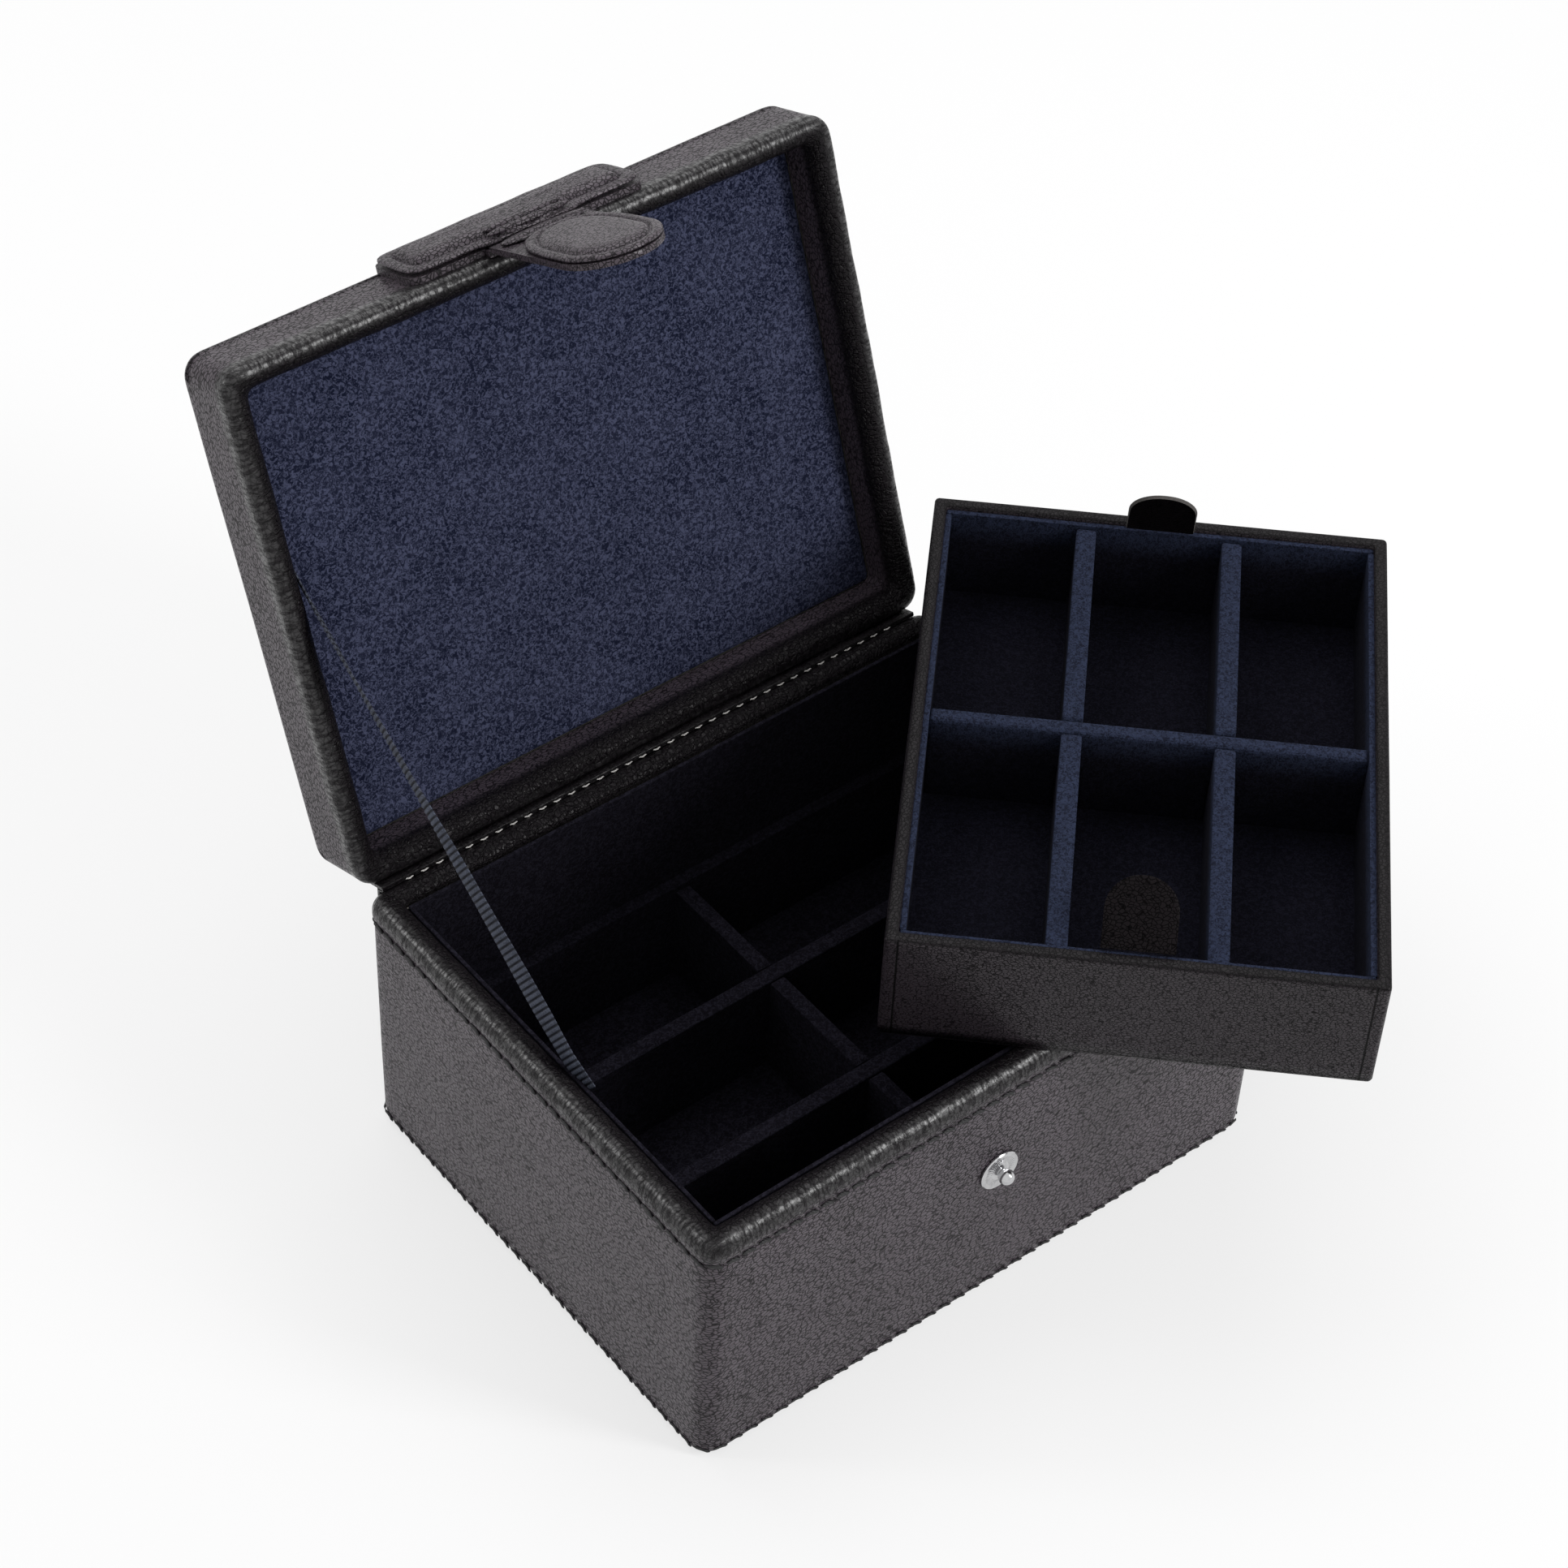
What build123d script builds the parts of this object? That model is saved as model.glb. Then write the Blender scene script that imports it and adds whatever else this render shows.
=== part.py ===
from build123d import *
from math import atan2, cos, degrees, hypot, radians, sin
import os

# A leather-wrapped cufflink box: a base with a six-compartment insert, a lid on a leather
# spine held open by a ribbon stay, a snap strap, and a lift-out tray that lies across the
# base's front right corner. Millimetres, +Z up. The origin is the centre of the underside,
# +X runs along the hinge, -Y is the side with the snap stud, +Y the hinge side.

# Driving sizes of the box
box_width = 160.0
box_depth = 124.5
base_height = 72.5
lid_height = 20.5
corner_radius = 5.0
rim_gap = 0.4            # between the two rims when the lid is closed
lid_open_angle = 110.4   # the ribbon stops the lid here

# Layers of the base walls, from the outside in
cover_thick = 1.2        # outer leather
wall_board = 4.4
back_board = 5.4         # the hinge side has a thicker board
lining_thick = 0.8       # leather turned over the rim and down inside
liner_thick = 0.9        # suede-covered card above the ledge
liner_drop = 1.5         # its top edge lies this far below the rim

# Rims
rim_leg = 8.0            # outer leg of the base's leather binding
lid_rim_leg = 3.0
rim_leather = 1.2
rim_board_drop = 3.2     # the boards stop this far below the rim, padding fills the rest
lid_board_drop = 3.0
padding_gap = 0.2        # the padding is four strips with small gaps at the corners
rim_round_outer = 2.2
rim_round_inner = 1.6

# Floor of the base
underside_thick = 1.0
underside_inset = 3.0
cover_lift = 0.4         # the leather's lower edge stays above the underside panel's face
foot_round = 1.4
floor_board_thick = 3.0
floor_pad_thick = 1.6

# Lower insert with six compartments
insert_clearance = 0.3
ledge_height = 35.0      # the tray's home is on this ledge
ledge_width = 2.8
divider_thick = 4.0
divider_drop = 1.2       # divider tops lie this far below the ledge
insert_columns = 2
insert_rows = 3
slot_clearance = 0.15

# Lid
lid_wall_board = 3.4
lid_lining_thick = 1.4
lid_recess = 11.0        # from the lid's rim to its suede panel
lid_top_board = 3.0
lid_top_padding = 1.5
lid_top_round = 3.0
panel_clearance = 0.2

# Leather spine outside the hinge
spine_thick = 0.9
spine_side_inset = 4.0
spine_down = 66.0
spine_up = 17.5

# Ribbon stay on the left side
ribbon_width = 6.0
ribbon_thick = 0.7
ribbon_wall_clearance = 0.35
ribbon_base_y = -3.7     # where it leaves the base's suede edge
ribbon_lid_reach = 77.5  # from the hinge to where it enters the lid
ribbon_end_clearance = 0.3

# Snap stud on the front face
stud_below_rim = 31.2
stud_flange_radius = 5.2
stud_flange_thick = 0.8
stud_ball_radius = 1.9
stud_ball_stand = 2.7    # from the leather to the ball's centre
stud_neck_radius = 1.2
eyelet_radius = 1.9
eyelet_hole_clearance = 0.15
eyelet_head_radius = 4.5
eyelet_head_thick = 0.8

# Strap on the lid's front: a T whose tongue carries the snap socket
strap_backing_thick = 1.6
strap_facing_thick = 2.0
strap_bar_width = 61.0
strap_bar_low = 2.5      # above the lid's rim
strap_bar_high = 19.5
strap_stem_width = 24.0
strap_stem_low = 0.6
strap_corner = 2.5
tongue_past_snap = 8.5
tongue_tilt = 4.0        # outward from the lid's front, so that the socket covers the stud
tongue_layer = 1.4
tongue_clearance = 0.35
socket_radius = 5.5
socket_flange_thick = 1.3
socket_barrel_radius = 3.3
socket_bore_radius = 2.4
socket_cap_radius = 5.0
socket_cap_thick = 0.6

# Tray
tray_clearance = 1.6     # to the base's suede walls when it is home
tray_height = 29.4
tray_corner = 1.2
tray_leather = 0.8
tray_board = 1.4
tray_liner = 1.3
tray_liner_drop = 1.0
tray_bottom_board = 2.0
tray_floor_pad = 1.4
tray_divider = 4.6
tray_cross_divider = 4.0
tray_divider_drop = 1.6
tray_columns = 3
tray_rows = 2

# Where the tray lies: across the rim, over the front right corner
tray_x = 72.3
tray_y = -22.4
tray_turn = -44.3
tray_rest_gap = 0.3

# Pull tabs of the tray
tab_width = 15.8
tab_length = 16.0
tab_thick = 1.2
tab_near_lean = 50.0     # inward from upright
tab_far_lean = 21.0
tab_clearance = 0.3


# Rectangles are (left, right, front, back) in the plane
def inset(area, by, back=None):
    left, right, front, rear = area
    return (left + by, right - by, front + by, rear - (by if back is None else back))


outer = (-box_width / 2, box_width / 2, -box_depth / 2, box_depth / 2)
board_outer = inset(outer, cover_thick)
board_inner = inset(board_outer, wall_board, back_board)
lining_inner = inset(board_inner, lining_thick)
liner_inner = inset(lining_inner, liner_thick)
insert_outer = inset(board_inner, insert_clearance)
insert_inner = inset(liner_inner, ledge_width)
lid_board_inner = inset(board_outer, lid_wall_board)
lid_lining_inner = inset(lid_board_inner, lid_lining_thick)

floor_top = underside_thick + floor_board_thick
lid_bottom = base_height + rim_gap
lid_top = lid_bottom + lid_height
front_face = outer[2]
hinge_y = outer[3]
hinge_z = base_height + rim_gap / 2
board_corner = corner_radius - cover_thick
stud_z = base_height - stud_below_rim


def block(area, z0, z1):
    """A plain block over a rectangle, from z0 to z1."""
    left, right, front, rear = area
    size = (right - left, rear - front, z1 - z0)
    centre = ((left + right) / 2, (front + rear) / 2, (z0 + z1) / 2)
    return Pos(*centre) * Box(*size)


def rounded_block(area, z0, z1, radius):
    """A block with rounded vertical edges."""
    solid = block(area, z0, z1)
    return fillet(solid.edges().filter_by(Axis.Z), radius)


def four_walls(area_out, area_in, z0, z1, radius=0.0):
    """Front and back walls at full width, with the side walls between them."""
    whole = rounded_block(area_out, z0, z1, radius) if radius else block(area_out, z0, z1)
    left, right, front, rear = area_out
    spans = {
        "front": (left, right, front, area_in[2]),
        "back": (left, right, area_in[3], rear),
        "left": (left, area_in[0], area_in[2], area_in[3]),
        "right": (area_in[1], right, area_in[2], area_in[3]),
    }
    return {side: whole & block(span, z0, z1) for side, span in spans.items()}


def on_front(x, z, depth=0.0):
    """A place on the front face whose own +Z points out of the box."""
    return Location((x, front_face - depth, z), (90, 0, 0))


def disc(radius, thick):
    """A disc standing on its own XY plane."""
    return Cylinder(radius, thick, align=(Align.CENTER, Align.CENTER, Align.MIN))


# ---------------------------------------------------------------- base

def base_binding():
    """Leather folded over the rim: a short outer leg, a round top and a long inner leg."""
    body = rounded_block(outer, ledge_height, base_height, corner_radius)
    body -= block(lining_inner, ledge_height - 1, base_height + 1)
    top = body.faces().sort_by(Axis.Z)[-1]
    body = fillet(top.outer_wire().edges(), rim_round_outer)
    top = body.faces().sort_by(Axis.Z)[-1]
    body = fillet(top.inner_wires()[0].edges(), rim_round_inner)
    under = rounded_block(inset(outer, -1), ledge_height - 1, base_height - rim_leg, 1.0)
    under -= block(board_inner, ledge_height - 2, base_height)
    channel = rounded_block(board_outer, ledge_height - 1, base_height - rim_leather, board_corner)
    channel -= block(board_inner, ledge_height - 2, base_height)
    return body - under - channel


def rim_padding(area_out, area_in, z0, z1):
    """Four soft strips that fill the rim's leather over the boards."""
    ring = rounded_block(area_out, z0, z1, board_corner) - block(area_in, z0 - 1, z1 + 1)
    left, right, front, rear = area_out
    for y in (area_in[2] + padding_gap / 2, area_in[3] - padding_gap / 2):
        ring -= block((left - 1, right + 1, y - padding_gap / 2, y + padding_gap / 2), z0 - 1, z1 + 1)
    return ring


def base_cover():
    """Outer leather round the four sides, with holes for the stud's eyelet."""
    top = base_height - rim_leg
    body = rounded_block(outer, cover_lift, top, corner_radius)
    body = fillet(body.faces().sort_by(Axis.Z)[0].edges(), foot_round)
    body -= rounded_block(board_outer, underside_thick, top + 1, board_corner)
    body -= block(inset(outer, underside_inset - 0.2), -1, underside_thick + 1)
    return body - eyelet_hole()


def eyelet_hole():
    """The bore through the front leather and board for the stud's eyelet."""
    reach = cover_thick + wall_board
    bore = disc(eyelet_radius + eyelet_hole_clearance, reach + 2)
    seat = disc(eyelet_head_radius + eyelet_hole_clearance, eyelet_head_thick + 1)
    return on_front(0, stud_z, reach + 1) * bore.moved(Location((0, 0, -2 * reach - 2))) \
        + on_front(0, stud_z) * Pos(0, 0, -reach - 1) * seat


def base_shell():
    """Boards, leather and padding of the base."""
    boards_top = base_height - rim_board_drop
    walls = four_walls(board_outer, board_inner, underside_thick, boards_top, board_corner)
    parts = {f"base_board_{side}": wall for side, wall in walls.items()}
    parts["base_board_front"] = parts["base_board_front"] - eyelet_hole()
    parts["base_floor_board"] = block(board_inner, underside_thick, floor_top)
    parts["base_underside"] = rounded_block(inset(outer, underside_inset), 0, underside_thick, 3.0)
    parts["base_leather_cover"] = base_cover()
    parts["base_rim_binding"] = base_binding()
    parts["base_rim_padding"] = rim_padding(
        board_outer, board_inner, boards_top, base_height - rim_leather)
    liners = four_walls(lining_inner, liner_inner, ledge_height, base_height - liner_drop)
    parts.update({f"base_liner_{side}": wall for side, wall in liners.items()})
    return parts


def crossed_dividers(area, z0, z1, lengthwise, crosswise, thick_y, thick_x):
    """Slotted cards that cross at half height. Lengthwise cards run along Y at the given x."""
    middle = (z0 + z1) / 2
    half_x = thick_x / 2
    half_y = thick_y / 2
    slots_y = [block((area[0] - 1, area[1] + 1, y - half_x - slot_clearance,
                      y + half_x + slot_clearance), middle, z1 + 1) for y in crosswise]
    slots_x = [block((x - half_y - slot_clearance, x + half_y + slot_clearance,
                      area[2] - 1, area[3] + 1), z0 - 1, middle) for x in lengthwise]
    along = []
    for x in lengthwise:
        card = block((x - half_y, x + half_y, area[2], area[3]), z0, z1)
        for slot in slots_y:
            card -= slot
        along.append(card)
    across = []
    for y in crosswise:
        card = block((area[0], area[1], y - half_x, y + half_x), z0, z1)
        for slot in slots_x:
            card -= slot
        across.append(card)
    return along, across


def even_splits(low, high, count, thick):
    """Centres of the dividers that part a span into equal compartments."""
    clear = (high - low - (count - 1) * thick) / count
    return [low + (k + 1) * clear + (k + 0.5) * thick for k in range(count - 1)]


def lower_insert():
    """The ledge walls, floor pad and dividers of the lower compartments."""
    walls = four_walls(insert_outer, insert_inner, floor_top, ledge_height)
    parts = {f"insert_wall_{side}": wall for side, wall in walls.items()}
    pad_top = floor_top + floor_pad_thick
    parts["insert_floor_pad"] = block(insert_inner, floor_top, pad_top)
    columns = even_splits(insert_inner[0], insert_inner[1], insert_columns, divider_thick)
    rows = even_splits(insert_inner[2], insert_inner[3], insert_rows, divider_thick)
    top = ledge_height - divider_drop
    along, across = crossed_dividers(
        insert_inner, pad_top, top, columns, rows, divider_thick, divider_thick)
    parts["insert_divider_lengthwise"] = along[0]
    parts["insert_divider_front"] = across[0]
    parts["insert_divider_back"] = across[1]
    return parts


def snap_stud():
    """Flange, neck and ball, standing on the front leather."""
    body = disc(stud_flange_radius, stud_flange_thick)
    body += disc(stud_neck_radius, stud_ball_stand)
    body += Pos(0, 0, stud_ball_stand) * Sphere(stud_ball_radius)
    return on_front(0, stud_z) * body


def stud_eyelet():
    """The tube that clenches the stud through the leather and board."""
    reach = cover_thick + wall_board
    body = Pos(0, 0, -reach) * disc(eyelet_radius, reach)
    body += Pos(0, 0, -reach) * disc(eyelet_head_radius, eyelet_head_thick)
    return on_front(0, stud_z) * body


# ---------------------------------------------------------------- lid, built closed

def lid_cover():
    """One leather skin over the lid's top and sides."""
    body = rounded_block(outer, lid_bottom + lid_rim_leg, lid_top, corner_radius)
    body = fillet(body.faces().sort_by(Axis.Z)[-1].edges(), lid_top_round)
    hollow = rounded_block(
        board_outer, lid_bottom, lid_top - cover_thick, board_corner)
    hollow = fillet(hollow.faces().sort_by(Axis.Z)[-1].edges(), lid_top_round - cover_thick)
    return body - hollow


def lid_binding():
    """The lid's rolled rim with its inner leg up to the top board."""
    inner_top = lid_board_top()
    body = rounded_block(outer, lid_bottom, inner_top, corner_radius)
    body -= rounded_block(lid_lining_inner, lid_bottom - 1, inner_top + 1, 1.0)
    low = body.faces().sort_by(Axis.Z)[0]
    body = fillet(low.outer_wire().edges(), rim_round_outer)
    low = body.faces().sort_by(Axis.Z)[0]
    body = fillet(low.inner_wires()[0].edges(), rim_round_inner)
    over = rounded_block(inset(outer, -1), lid_bottom + lid_rim_leg, inner_top + 1, 1.0)
    over -= block(lid_board_inner, lid_bottom, inner_top + 2)
    channel = rounded_block(board_outer, lid_bottom + rim_leather, inner_top + 1, board_corner)
    channel -= block(lid_board_inner, lid_bottom, inner_top + 2)
    return body - over - channel


def lid_board_top():
    """Underside of the lid's top board."""
    return lid_top - cover_thick - lid_top_padding - lid_top_board


def lid_shell():
    """Boards, padding, leather and suede of the lid."""
    boards_low = lid_bottom + lid_board_drop
    under_top = lid_board_top()
    walls = four_walls(board_outer, lid_board_inner, boards_low, under_top, board_corner)
    parts = {f"lid_board_{side}": wall for side, wall in walls.items()}
    over_board = under_top + lid_top_board
    parts["lid_top_board"] = rounded_block(board_outer, under_top, over_board, board_corner)
    soft = rounded_block(board_outer, over_board, lid_top - cover_thick, board_corner)
    soft = fillet(soft.faces().sort_by(Axis.Z)[-1].edges(), lid_top_padding - 0.1)
    parts["lid_top_padding"] = soft
    parts["lid_leather_cover"] = lid_cover() - parts["lid_top_padding"]
    parts["lid_top_padding"] = parts["lid_top_padding"] - lid_cover()
    parts["lid_top_board"] = parts["lid_top_board"] - lid_cover()
    parts["lid_rim_binding"] = lid_binding()
    parts["lid_rim_padding"] = rim_padding(
        board_outer, lid_board_inner, lid_bottom + rim_leather, boards_low)
    panel = inset(lid_lining_inner, panel_clearance)
    parts["lid_suede_panel"] = rounded_block(panel, lid_bottom + lid_recess, under_top, 1.0)
    return parts


def t_plate(thick, depth):
    """The T outline, standing on the lid's front face at the given depth."""
    bar_height = strap_bar_high - strap_bar_low
    bar_middle = lid_bottom + (strap_bar_high + strap_bar_low) / 2
    stem_height = strap_bar_low - strap_stem_low + strap_corner
    stem_middle = lid_bottom + strap_stem_low + stem_height / 2
    bar = Box(strap_bar_width, bar_height, thick, align=(Align.CENTER, Align.CENTER, Align.MIN))
    bar = fillet(bar.edges().filter_by(Axis.Z), strap_corner)
    stem = Box(strap_stem_width, stem_height, thick, align=(Align.CENTER, Align.CENTER, Align.MIN))
    low = on_front(0, stem_middle, depth) * stem
    return on_front(0, bar_middle, depth) * bar + low


def strap_plates():
    """The strap's two leathers on the lid."""
    facing = t_plate(strap_facing_thick, strap_backing_thick)
    rim_face = facing.faces().sort_by(Axis.Y)[0]
    facing = fillet(rim_face.edges(), 0.9)
    return {
        "strap_backing": t_plate(strap_backing_thick, 0.0),
        "strap_facing": facing,
    }


# The tongue's own frame: x across, y from its root to its tip, z outward
tongue_root_y = front_face - strap_backing_thick - strap_facing_thick / 2
tongue_root_z = lid_bottom + strap_stem_low - tongue_layer - tongue_clearance
snap_reach = (tongue_root_z - stud_z) / cos(radians(tongue_tilt))
tongue_length = snap_reach + tongue_past_snap


def tongue_place():
    """The tongue hangs from its root, tilted outward."""
    return Location((0, tongue_root_y, tongue_root_z), (90 - tongue_tilt, 0, 0)) * Rot(0, 0, 180)


def tongue_outline(half_width):
    """Straight sides and a round tip, along +Y from the root."""
    straight = tongue_length - half_width
    body = Pos(0, straight / 2, 0) * Rectangle(2 * half_width, straight)
    return body + Pos(0, straight, 0) * Circle(half_width)


def strap_tongue():
    """Two leathers with the socket clenched between them."""
    half = strap_stem_width / 2
    shape = tongue_outline(half)
    root = Rot(0, 90, 0) * Cylinder(tongue_layer, strap_stem_width)
    inner_half = Pos(0, 0, -tongue_layer) * Box(2 * strap_stem_width, 4 * tongue_layer, 2 * tongue_layer)
    backing = extrude(shape, -tongue_layer) + (root & inner_half)
    facing = extrude(shape, tongue_layer)
    facing = fillet(facing.faces().sort_by(Axis.Z)[-1].edges(), 0.8)
    facing += root - inner_half
    snap = Pos(0, snap_reach, 0)
    barrel_hole = snap * Pos(0, 0, -tongue_layer - 1) * disc(socket_barrel_radius, 2 * tongue_layer + 1)
    cap_seat = snap * disc(socket_cap_radius, socket_cap_thick)
    flange_low = -tongue_layer - socket_flange_thick
    socket = snap * Pos(0, 0, flange_low) * disc(socket_radius, socket_flange_thick)
    socket += snap * Pos(0, 0, -tongue_layer) * disc(socket_barrel_radius, tongue_layer)
    bore_depth = tongue_layer + socket_flange_thick + 2
    socket -= snap * Pos(0, 0, flange_low - 1) * disc(socket_bore_radius, bore_depth)
    outer_ring = socket.faces().sort_by(Axis.Z)[0].outer_wire().edges()
    socket = fillet(outer_ring, 0.5)
    parts = {
        "tongue_backing": backing - barrel_hole,
        "tongue_facing": facing - cap_seat,
        "snap_socket": socket,
        "snap_socket_cap": snap * disc(socket_cap_radius, socket_cap_thick),
    }
    return {name: tongue_place() * solid for name, solid in parts.items()}


def opened(solid):
    """Turns a closed-lid solid about the hinge into the open pose."""
    hinge = Axis((0, hinge_y, hinge_z), (1, 0, 0))
    return solid.rotate(hinge, -lid_open_angle)


# ---------------------------------------------------------------- spine and ribbon

def opened_point(y, z):
    """Where a closed-lid point lies when the lid is open."""
    turn = radians(lid_open_angle)
    dy = y - hinge_y
    dz = z - hinge_z
    return hinge_y + dy * cos(turn) + dz * sin(turn), hinge_z - dy * sin(turn) + dz * cos(turn)


def spine_leather():
    """One leather strip down the base's back and along the lid's back, folded at the hinge."""
    turn = radians(lid_open_angle)
    far = opened_point(hinge_y, hinge_z + spine_up)
    far_out = opened_point(hinge_y + spine_thick, hinge_z + spine_up)
    fold = spine_thick * (1 - cos(turn)) / sin(turn)
    low = base_height - spine_down
    points = [
        (hinge_y, low),
        (hinge_y, hinge_z),
        far,
        far_out,
        (hinge_y + spine_thick, hinge_z - fold),
        (hinge_y + spine_thick, low),
    ]
    half = box_width / 2 - spine_side_inset
    section = make_face(Polyline([(-half, y, z) for y, z in points], close=True))
    return extrude(section, 2 * half, dir=(1, 0, 0))


def ribbon_stay():
    """A flat ribbon from the base's suede edge to the lid's panel, pulled straight."""
    x = lining_inner[0] + ribbon_wall_clearance + ribbon_thick / 2
    start = (ribbon_base_y, base_height - liner_drop + ribbon_width / 2 + ribbon_end_clearance)
    end = opened_point(hinge_y - ribbon_lid_reach, lid_bottom + lid_recess - ribbon_width / 2)
    length = hypot(end[0] - start[0], end[1] - start[1])
    rise = degrees(atan2(end[1] - start[1], end[0] - start[0]))
    strip = Box(ribbon_thick, length, ribbon_width)
    middle = Location((x, (start[0] + end[0]) / 2, (start[1] + end[1]) / 2), (rise, 0, 0))
    return middle * strip


# ---------------------------------------------------------------- tray, built about its own centre

tray_length = liner_inner[1] - liner_inner[0] - 2 * tray_clearance
tray_width = liner_inner[3] - liner_inner[2] - 2 * tray_clearance
tray_outer = (-tray_width / 2, tray_width / 2, -tray_length / 2, tray_length / 2)
tray_board_outer = inset(tray_outer, tray_leather)
tray_board_inner = inset(tray_board_outer, tray_board)
tray_wrap_inner = inset(tray_board_inner, tray_leather)
tray_inner = inset(tray_wrap_inner, tray_liner)
tray_board_low = tray_leather
tray_floor = tray_leather + tray_bottom_board


def tray_place():
    """The tray lies level across the rim, turned over the front right corner."""
    return Location((tray_x, tray_y, base_height + tray_rest_gap), (0, 0, tray_turn))


def tray_wrap():
    """Leather up the outside, over the top edge and down inside."""
    body = rounded_block(tray_outer, 0, tray_height, tray_corner)
    body = fillet(body.faces().sort_by(Axis.Z)[-1].edges(), 0.7)
    body -= block(tray_wrap_inner, tray_floor, tray_height + 1)
    body -= block(tray_board_outer, -1, tray_height - tray_leather) \
        - block(tray_board_inner, tray_floor, tray_height)
    return body


def tray_shell():
    """Boards, wrap, liners and floor of the tray."""
    top = tray_height - tray_leather
    walls = four_walls(tray_board_outer, tray_board_inner, tray_board_low, top)
    parts = {f"tray_board_{side}": wall for side, wall in walls.items()}
    parts["tray_bottom_board"] = block(tray_board_inner, tray_board_low, tray_floor)
    parts["tray_underside"] = block(tray_board_outer, 0, tray_leather)
    parts["tray_leather_wrap"] = tray_wrap()
    pad_top = tray_floor + tray_floor_pad
    parts["tray_floor_pad"] = block(tray_wrap_inner, tray_floor, pad_top)
    liners = four_walls(tray_wrap_inner, tray_inner, pad_top, tray_height - tray_liner_drop)
    parts.update({f"tray_liner_{side}": wall for side, wall in liners.items()})
    columns = even_splits(tray_inner[0], tray_inner[1], tray_columns, tray_divider)
    rows = even_splits(tray_inner[2], tray_inner[3], tray_rows, tray_cross_divider)
    along, across = crossed_dividers(
        tray_inner, pad_top, tray_height - tray_divider_drop, columns, rows,
        tray_divider, tray_cross_divider)
    parts["tray_divider_left"] = along[0]
    parts["tray_divider_right"] = along[1]
    parts["tray_divider_cross"] = across[0]
    return parts


tab_root_y = tray_wrap_inner[3] - tab_thick / 2 - tab_clearance
tab_root_z = tray_height - tray_liner_drop + tab_thick / 2 + tab_clearance


def pull_tab(side):
    """A round-ended leather tab; side is -1 at the near end and 1 at the far end."""
    half = tab_width / 2
    straight = tab_length - half
    shape = Pos(0, straight / 2, 0) * Rectangle(tab_width, straight)
    shape += Pos(0, straight, 0) * Circle(half)
    slab = extrude(shape, tab_thick / 2, both=True)
    slab += Rot(0, 90, 0) * Cylinder(tab_thick / 2, tab_width)
    upright = Location((0, 0, 0), (90, 0, 0))
    inward = tab_far_lean if side > 0 else tab_near_lean
    lean = Location((0, side * tab_root_y, tab_root_z), (side * inward, 0, 0))
    return lean * upright * slab


def tray():
    """Every piece of the tray, where it lies."""
    parts = tray_shell()
    parts["tray_tab_near"] = pull_tab(-1)
    parts["tray_tab_far"] = pull_tab(1)
    return {name: tray_place() * solid for name, solid in parts.items()}


# ---------------------------------------------------------------- all pieces

def every_piece():
    """Node names and their solids in the resting, open pose."""
    parts = base_shell()
    parts.update(lower_insert())
    parts["snap_stud"] = snap_stud()
    parts["snap_stud_eyelet"] = stud_eyelet()
    closed = lid_shell()
    closed.update(strap_plates())
    closed.update(strap_tongue())
    parts.update({name: opened(solid) for name, solid in closed.items()})
    parts["spine_leather"] = spine_leather()
    parts["ribbon_stay"] = ribbon_stay()
    parts.update(tray())
    return parts


os.makedirs("parts", exist_ok=True)
for name, solid in every_piece().items():
    export_step(solid, f"parts/{name}.step")

print("hinge y z", round(hinge_y, 3), round(hinge_z, 3))
print("tongue root (closed) y z", round(tongue_root_y, 3), round(tongue_root_z, 3),
      "open", [round(v, 3) for v in opened_point(tongue_root_y, tongue_root_z)])
print("tray length width", round(tray_length, 2), round(tray_width, 2))
print("tab root", round(tab_root_y, 3), round(tab_root_z, 3))
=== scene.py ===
import math

import bpy
from mathutils import Matrix, Vector


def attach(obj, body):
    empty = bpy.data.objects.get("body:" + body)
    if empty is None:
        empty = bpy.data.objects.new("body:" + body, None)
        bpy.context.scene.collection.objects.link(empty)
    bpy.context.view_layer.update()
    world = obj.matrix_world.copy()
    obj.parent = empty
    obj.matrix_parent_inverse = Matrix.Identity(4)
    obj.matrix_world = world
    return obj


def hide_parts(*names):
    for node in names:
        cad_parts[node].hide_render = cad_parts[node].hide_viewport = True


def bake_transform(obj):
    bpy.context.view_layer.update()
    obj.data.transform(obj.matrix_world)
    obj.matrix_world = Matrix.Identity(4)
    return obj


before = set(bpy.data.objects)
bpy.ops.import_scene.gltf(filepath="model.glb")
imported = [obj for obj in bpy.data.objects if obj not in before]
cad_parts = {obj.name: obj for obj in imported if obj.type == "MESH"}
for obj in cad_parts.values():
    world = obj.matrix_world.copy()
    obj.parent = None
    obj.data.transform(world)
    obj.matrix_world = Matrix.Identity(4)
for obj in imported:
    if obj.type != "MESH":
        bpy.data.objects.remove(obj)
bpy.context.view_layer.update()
MM = 0.001


# ---------------------------------------------------------------- camera
# The camera looks down into the open box from the front left, 886 mm from the middle of the
# view, as a product photographer's would with a long lens.

camera_turn = math.radians(-40.385)
camera_rise = math.radians(45.058)
camera_roll = math.radians(2.842)
camera_reach = 0.886199
view_middle = Vector((23.748, 43.895, 60.0)) * MM
back = Vector((math.sin(camera_turn) * math.cos(camera_rise),
               -math.cos(camera_turn) * math.cos(camera_rise),
               math.sin(camera_rise)))
level = Vector((0, 0, 1)).cross(back).normalized()
lift = back.cross(level)
right = level * math.cos(camera_roll) + lift * math.sin(camera_roll)
up = lift * math.cos(camera_roll) - level * math.sin(camera_roll)
lens = bpy.data.cameras.new("photo_camera")
lens.sensor_width = 36.0
lens.lens = 87.753
camera = bpy.data.objects.new("photo_camera", lens)
bpy.context.scene.collection.objects.link(camera)
camera.matrix_world = Matrix.Translation(view_middle + back * camera_reach) @ Matrix(
    (right, up, back)).transposed().to_4x4()
bpy.context.scene.camera = camera
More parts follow.
